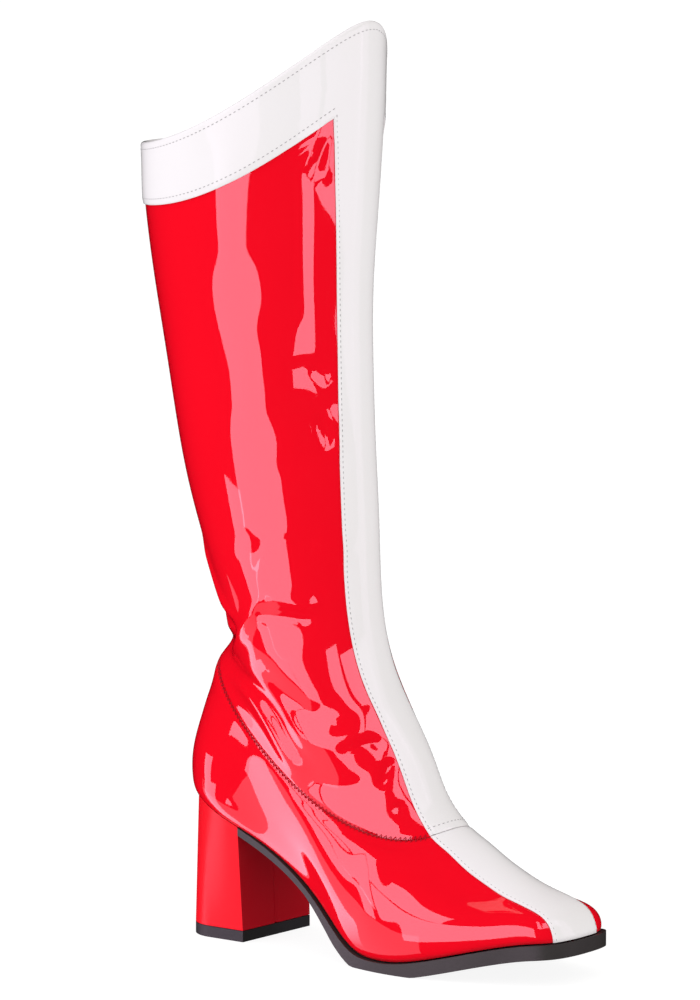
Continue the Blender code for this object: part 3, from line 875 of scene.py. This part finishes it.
def in_stripe(row, cell):
    return WALL_CELLS <= cell < WALL_CELLS + 2 * HALF_STRIPE_CELLS


def in_cuff_or_stripe(row, cell):
    return row >= ANKLE_ROWS + CALF_ROWS or in_stripe(row, cell)


class BOOT_OT_stripes(bpy.types.Operator):
    """Add the white cuff with its shaft stripe, and the stripe on the vamp"""

    bl_idname = "boot.add_stripes"
    bl_label = "Add Cuff And Stripes"

    def execute(self, context):
        sizes = context.scene.boot_sizes
        pieces = (
            ("vamp_stripe_patent", "vamp_stripe", foot_levels(), in_stripe),
            ("cuff_and_stripe_patent", "cuff_and_shaft_stripe", skin_levels(), in_cuff_or_stripe),
        )
        for name, node, levels, keep in pieces:
            points, normals = fine_skin(levels)
            high = relief(points)
            heights = (high + white_lift(points, sizes), high + sizes.gap)
            faces = [points + normals * height[..., None] for height in heights]
            if keep is in_cuff_or_stripe:
                rolls = rolled_collar(points, normals, sizes)
                faces = [np.concatenate(pair) for pair in zip(faces, rolls)]
            add_object(name, wall_mesh(faces, keep), white_patent(), "white_patent", node)
        return {"FINISHED"}


class BOOT_OT_lining(bpy.types.Operator):
    """Add the knit lining inside the leg and foot"""

    bl_idname = "boot.add_lining"
    bl_label = "Add Lining"

    def execute(self, context):
        sizes, colours, _ = settings()
        levels = np.linspace(LINING_RING, ROLL_RING, LINING_ROWS + 1)
        points, normals = skin(levels, even_steps(LINING_CELLS), fine_stripes(LINING_STRIPE_CELLS))
        high = relief(points)[..., None] - sizes.skin - LINING_GAP
        bm = wall_mesh([points + normals * high, points + normals * (high - sizes.lining)])
        material = finish_once("lining_knit", matt, colours.lining, KNIT)
        add_object("leg_lining", bm, material, "sock_cloth")
        return {"FINISHED"}


def footprint(share, side, margin):
    """Plan of the sole line on the outer (0) or inner (1) side, moved outwards by a margin."""
    sign = (-1, 1)[side]
    places, length, _, sides = ring_curves(RINGS[0])
    x = np.interp(share, places, length)
    wide = np.interp(share, places, sides[side])
    turn = np.arctan2(np.gradient(wide), np.gradient(x))
    turn[0] = math.pi / 2 if share[0] == 0 else turn[0]
    turn[-1] = -math.pi / 2 if share[-1] == 1 else turn[-1]
    return np.stack((x - np.sin(turn) * margin, sign * (wide + np.cos(turn) * margin)))


def across_rows(outer, inner, height, steps):
    """Rows of points from the outer edge to the inner edge at each station along the boot."""
    start = np.stack((*outer, height), axis=1)[:, None, :]
    stop = np.stack((*inner, height), axis=1)[:, None, :]
    return start + (stop - start) * steps[:, None] + SHIFT


def middle_steps(cells):
    """Shares from 0 to 1, closer together at the middle."""
    ends = np.linspace(-1, 1, cells + 1)
    return 0.5 + 0.5 * np.sign(ends) * np.abs(ends) ** 2


def heel_plan(length):
    """The D of the heel's foot: x and half width at shares of its length."""
    x = HEEL_BACK + (HEEL_BREAST - HEEL_BACK) * length
    bend = np.clip((HEEL_BACK + HEEL_ROUND - x) / HEEL_ROUND, 0, 1)
    return x, HEEL_WIDTH / 2 * np.sqrt(1 - bend ** 2)


def heel_stations():
    """Shares of the heel's length, close together where its back is round."""
    return 1 - np.cos(np.linspace(0, math.pi / 2, HEEL_CELLS + 1))


def heel_levels(sizes):
    """Grids of the heel from its seat down to the lift, with the wrap's joint in the breast."""
    length = heel_stations()
    share = length * (HEEL_BREAST_TOP - X_BACK) / FOOT_LENGTH
    fine = np.linspace(0, share[-1], CURVE_SAMPLES)
    seat = sole_line(share) - SOLE_GAP
    top = []
    for side in (0, 1):
        edge = footprint(fine, side, -HEEL_TOP_INSET)
        top.append(np.array([np.interp(share, fine, values) for values in edge]))
    x, half = heel_plan(length)
    foot = (np.array((x, -half)), np.array((x, half)))
    steps = middle_steps(HEEL_ACROSS)
    levels = []
    for way in even_steps(HEEL_STEPS):
        edges = [top[i] + (foot[i] - top[i]) * way for i in (0, 1)]
        height = seat + (LIFT_HEIGHT + sizes.gap - seat) * way
        rows = across_rows(edges[0], edges[1], height, steps)
        rows[-1, :, 0] -= sizes.groove * np.exp(-(rows[-1, :, 1] / (2 * sizes.groove)) ** 2)
        levels.append(rows)
    return levels


def lift_levels():
    length = heel_stations()
    x, half = heel_plan(length)
    steps = even_steps(HEEL_ACROSS)
    return [across_rows((x, -half), (x, half), 0 * x + height, steps) for height in (LIFT_HEIGHT, 0.0)]


def outsole_levels(sizes):
    """The sole's top under the upper, and its bottom, flat where it stands at the ball."""
    start = (HEEL_BREAST_TOP + sizes.gap + WAIST_LEDGE - X_BACK) / FOOT_LENGTH
    share = start + (1 - start) * np.sin(np.linspace(0, math.pi / 2, SOLE_CELLS + 1))
    ledge = WAIST_LEDGE + (SOLE_LEDGE - WAIST_LEDGE) * np.clip((share - start) / (BALL_START - start), 0, 1)
    edges = [footprint(share, side, ledge) for side in (0, 1)]
    top = sole_line(share) - SOLE_GAP
    forward = np.clip((share - WAIST_END) / (BALL_START - WAIST_END), 0, 1)
    bottom = np.maximum(top - WAIST_THICKNESS - (SOLE_THICKNESS - WAIST_THICKNESS) * forward, 0)
    return [across_rows(*edges, height, even_steps(SOLE_ACROSS)) for height in (top, bottom)]


def insole_levels():
    share = (1 - np.cos(np.linspace(0, math.pi, SOLE_CELLS + 1))) / 2
    edges = [footprint(share, side, -INSOLE_INSET) for side in (0, 1)]
    bottom = sole_line(share)
    heights = (bottom + INSOLE_THICKNESS, bottom)
    return [across_rows(*edges, height, even_steps(SOLE_ACROSS)) for height in heights]


def round_edges(made, width):
    """Rounds a piece's sharp edges."""
    bevel = made.modifiers.new("rounded", "BEVEL")
    bevel.width = width
    bevel.segments = ROUND_SEGMENTS
    bevel.limit_method = "ANGLE"
    bevel.angle_limit = ROUND_ANGLE
    bevel.harden_normals = True


class BOOT_OT_bottom(bpy.types.Operator):
    """Add the sole, the wrapped heel with its lift, and the sock lining"""

    bl_idname = "boot.add_bottom"
    bl_label = "Add Sole And Heel"

    def execute(self, context):
        sizes, colours, _ = settings()
        sole = finish_once("sole_satin", matt, colours.sole, SOLE_RUBBER)
        wrap = finish_once("heel_gloss", patent, colours.red, colours.deep_red, HEEL_GLOSS)
        # The breast's finish is the red patent darkened as painted shade
        breast = finish_once("breast_gloss", patent, colours.breast, colours.breast, BREAST_GLOSS)
        lift = finish_once("lift_black", matt, colours.lift, LIFT_RUBBER)
        sock = finish_once("sock_felt", matt, colours.sock, FELT)
        pieces = (
            ("sole_unit", outsole_levels(sizes), sole, "sole_unit", "outsole", sizes.sole_round),
            ("heel_wrap", heel_levels(sizes), wrap, "heel_patent", "heel_block", sizes.heel_round),
            ("heel_toplift", lift_levels(), lift, "lift_rubber", "heel_lift", sizes.sole_round),
            ("sock_lining", insole_levels(), sock, "sock_cloth", "insole", sizes.sole_round),
        )
        for name, levels, material, slot, node, rounding in pieces:
            made = add_object(name, wall_mesh(levels), material, slot, node)
            # Faces turned to the toe take the second finish, whose darker red paints the breast's shade
            if material is wrap:
                made.data.materials.append(breast)
                for face in made.data.polygons:
                    face.material_index = int(face.normal.x > PAINTED_SHADE_BREAST_FACING)
            round_edges(made, rounding)
        return {"FINISHED"}


def spaced(points, normals, pitch):
    """Points and normals at even distances along a line."""
    along = run_along(points)
    at = np.linspace(0, along[-1], max(2, round(along[-1] / pitch)) + 1)
    return [np.stack([np.interp(at, along, part) for part in values.T], axis=1)
            for values in (points, normals)]


def add_stitch(bm, middle, along, normal, length, thick):
    """A small rounded stitch that lies along a line, half sunk in the skin."""
    forward = Vector(along).normalized()
    side = Vector(normal).cross(forward).normalized()
    turn = Matrix((forward, side, forward.cross(side))).transposed().to_4x4()
    scale = Matrix.Diagonal((length / 2, thick / 2, thick / 2, 1))
    place = Matrix.Translation(middle) @ turn @ scale
    bmesh.ops.create_uvsphere(bm, u_segments=STITCH_SIDES, v_segments=STITCH_RINGS, radius=1, matrix=place)


def white_line(levels, column_at, sizes):
    """Points and normals on the white patent along one column of fine rows."""
    share = 1 - sizes.stitch_inset / np.array([ring.stripe for ring in rings_at(levels)])
    points, normals = skin(levels, np.array((0.0, 1.0)), np.stack((share, 0 * share), axis=1))
    return points[:, column_at], normals[:, column_at]


def topstitch_lines(sizes):
    """Topstitches along both sides of the stripe, the collar, the cuff's lower edge and the seam."""
    half = sizes.gap / 2 / SEAM_PITCH
    outer, inner = 2, 4
    vamp = np.linspace(VAMP_STITCH_START, SEAM_RING - half, VAMP_STITCH_SAMPLES)
    shaft = np.linspace(SEAM_RING + half, CUFF_RING + CUFF_STITCH_END, EDGE_SAMPLES)
    lines = [white_line(levels, side, sizes) for side in (outer, inner) for levels in (vamp, shaft)]
    round_lines = (ROLL_RING - COLLAR_STITCH, CUFF_RING + CUFF_STITCH, SEAM_RING + SEAM_STITCH)
    points, normals = fine_skin(round_lines)
    for row, part in ((0, slice(None)), (1, OUTER_WALL), (1, INNER_WALL), (2, UNDER_STRIPE)):
        lines.append((points[row][part], normals[row][part]))
    return lines


class BOOT_OT_stitches(bpy.types.Operator):
    """Add the grey topstitches of the white patent and the zigzag of the vamp seam"""

    bl_idname = "boot.add_stitches"
    bl_label = "Add Stitches"

    def execute(self, context):
        sizes, colours, _ = settings()
        bm = bmesh.new()
        for line in topstitch_lines(sizes):
            points, normals = spaced(*line, sizes.stitch_pitch)
            points = points + normals * (relief(points) + white_lift(points, sizes))[:, None]
            steps = np.gradient(points, axis=0)
            for middle, along, normal in zip(points, steps, normals):
                add_stitch(bm, middle, along, normal, sizes.stitch_length, sizes.thread)
        grey = finish_once("thread_grey", matt, colours.thread_grey, THREAD)
        add_object("topstitches", bm, grey, "white_patent")

        bm = bmesh.new()
        rise = sizes.zigzag_width / 2 / SEAM_PITCH
        points, normals = fine_skin((SEAM_RING - rise, SEAM_RING + rise))
        rows = tuple(zip(points, normals))
        step = sizes.zigzag_pitch / 2
        for side in (OUTER_WALL, INNER_WALL):
            sides = [spaced(row[side], outs[side], step) for row, outs in rows]
            count = min(len(points) for points, _ in sides)
            points, normals = (np.array([sides[i % 2][part][i] for i in range(count)]) for part in (0, 1))
            points = points + normals * relief(points)[:, None]
            for i in range(count - 1):
                leg = points[i + 1] - points[i]
                length = np.linalg.norm(leg) + sizes.zigzag_thread
                middle = (points[i] + points[i + 1]) / 2
                add_stitch(bm, middle, leg, normals[i], length, sizes.zigzag_thread)
        red = finish_once("thread_red", matt, colours.thread_red, THREAD)
        add_object("seam_zigzag", bm, red, "red_patent")
        return {"FINISHED"}


class BOOT_OT_stage(bpy.types.Operator):
    """Set the floor, the pale room, the softboxes, the key light and the camera"""

    bl_idname = "boot.set_stage"
    bl_label = "Set Stage"

    def execute(self, context):
        stage = context.scene.boot_stage
        add_floor(stage)
        add_room(stage)
        target = Vector((stage.target_x + SHIFT[0], 0, stage.target_z))
        for box in SOFTBOXES:
            add_softbox(box, stage)
        add_key(stage)
        camera = bpy.data.objects.new("camera", bpy.data.cameras.new("camera"))
        camera.data.lens = stage.lens
        back = heading(stage.azimuth, stage.elevation)
        camera.location = target + back * stage.distance
        camera.rotation_mode = "QUATERNION"
        camera.rotation_quaternion = back.to_track_quat("Z", "Y")
        context.scene.collection.objects.link(camera)
        context.scene.camera = camera
        context.scene.view_settings.view_transform = "Standard"
        return {"FINISHED"}


def heading(azimuth, elevation):
    """Unit vector away from the boot; azimuth 0 is the outer side and 90 degrees the toe."""
    level = math.cos(elevation)
    return Vector((math.sin(azimuth) * level, -math.cos(azimuth) * level, math.sin(elevation)))


def add_floor(stage):
    bm = bmesh.new()
    bmesh.ops.create_circle(bm, cap_ends=True, segments=FLOOR_SEGMENTS, radius=FLOOR_RADIUS)
    mesh = bpy.data.meshes.new("floor")
    bm.to_mesh(mesh)
    bm.free()
    material, shader, value = new_finish("floor_paper")
    dim = shaded(stage.floor, FLOOR_SHADE)
    set_inputs(shader, {
        "Base Color": mix_colours(value, noise(value, FLOOR_CLOUDS), stage.floor, dim),
        "Roughness": FLOOR_ROUGHNESS,
        "Specular IOR Level": FLOOR_SHINE,
        "Emission Color": WHITE,
        "Emission Strength": stage.floor_glow,
    })
    mesh.materials.append(material)
    floor = bpy.data.objects.new("floor", mesh)
    floor.visible_glossy = False
    bpy.context.scene.collection.objects.link(floor)


def add_room(stage):
    """Pale room light that doesn't mirror in the patent, so that only the softboxes do."""
    world = bpy.data.worlds.new("room")
    world.use_nodes = True
    light = {"Color": tuple(stage.room_tint) + (1.0,), "Strength": stage.room}
    set_inputs(world.node_tree.nodes["Background"], light)
    world.cycles_visibility.glossy = False
    bpy.context.scene.world = world


def add_panel(box, colour, radiance):
    """A flat lamp that faces the boot and can't be seen by the camera."""
    lamp = bpy.data.lights.new(box.name, "AREA")
    lamp.shape = "RECTANGLE"
    lamp.size = box.width
    lamp.size_y = box.high - box.low
    lamp.color = colour
    lamp.energy = radiance * box.glow * math.pi * lamp.size * lamp.size_y
    panel = bpy.data.objects.new(box.name, lamp)
    out = heading(math.radians(box.azimuth), 0)
    panel.location = out * box.distance + Vector((0, 0, (box.low + box.high) / 2))
    panel.rotation_mode = "QUATERNION"
    roll = Quaternion((0, 0, 1), math.radians(box.roll))
    panel.rotation_quaternion = out.to_track_quat("Z", "Y") @ roll
    panel.visible_camera = False
    bpy.context.scene.collection.objects.link(panel)
    return panel


def add_softbox(box, stage):
    """A panel that only mirrors in the gloss, with a lower edge that may fade."""
    panel = add_panel(box, stage.softbox_tint, stage.softbox_glow)
    panel.visible_diffuse = False
    if not box.fade:
        return
    panel.data.use_nodes = True
    value = Value(panel.data.node_tree)
    place = value.node("ShaderNodeNewGeometry", output="Parametric")
    rise = value.node("ShaderNodeSeparateXYZ", inputs={0: place}, output="Y")
    clamped = {"operation": "MULTIPLY", "use_clamp": True}
    share = value.node("ShaderNodeMath", clamped, {0: rise, 1: 1 / box.fade})
    set_inputs(panel.data.node_tree.nodes["Emission"], {"Strength": share})


def add_key(stage):
    """A large panel on the outer side that lights the colours and doesn't mirror."""
    panel = add_panel(KEY, stage.key_tint, stage.key_glow)
    panel.visible_glossy = False


class BOOT_PT_sidebar(bpy.types.Panel):
    """Lists the boot's sizes, colours and steps"""

    bl_label = "Costume Boot"
    bl_space_type = "VIEW_3D"
    bl_region_type = "UI"
    bl_category = "Boot"

    def draw(self, context):
        for group in settings():
            box = self.layout.box()
            for name in group.__annotations__:
                box.prop(group, name)
        for step in STEPS:
            self.layout.operator(step.bl_idname)


STEPS = (BOOT_OT_bottom, BOOT_OT_upper, BOOT_OT_shaft, BOOT_OT_stripes, BOOT_OT_lining, BOOT_OT_stitches,
         BOOT_OT_stage)
GROUPS = {"boot_sizes": BootSizes, "boot_colours": BootColours, "boot_stage": BootStage}
CLASSES = (*GROUPS.values(), *STEPS, BOOT_PT_sidebar)


def register():
    for item in CLASSES:
        bpy.utils.register_class(item)
    for name, group in GROUPS.items():
        setattr(bpy.types.Scene, name, PointerProperty(type=group))


def unregister():
    for name in GROUPS:
        delattr(bpy.types.Scene, name)
    for item in reversed(CLASSES):
        bpy.utils.unregister_class(item)


def main():
    register()
    bpy.ops.boot.add_bottom()
    bpy.ops.boot.add_upper()
    bpy.ops.boot.add_shaft()
    bpy.ops.boot.add_stripes()
    bpy.ops.boot.add_lining()
    bpy.ops.boot.add_stitches()
    bpy.ops.boot.set_stage()


if __name__ == "__main__":
    main()
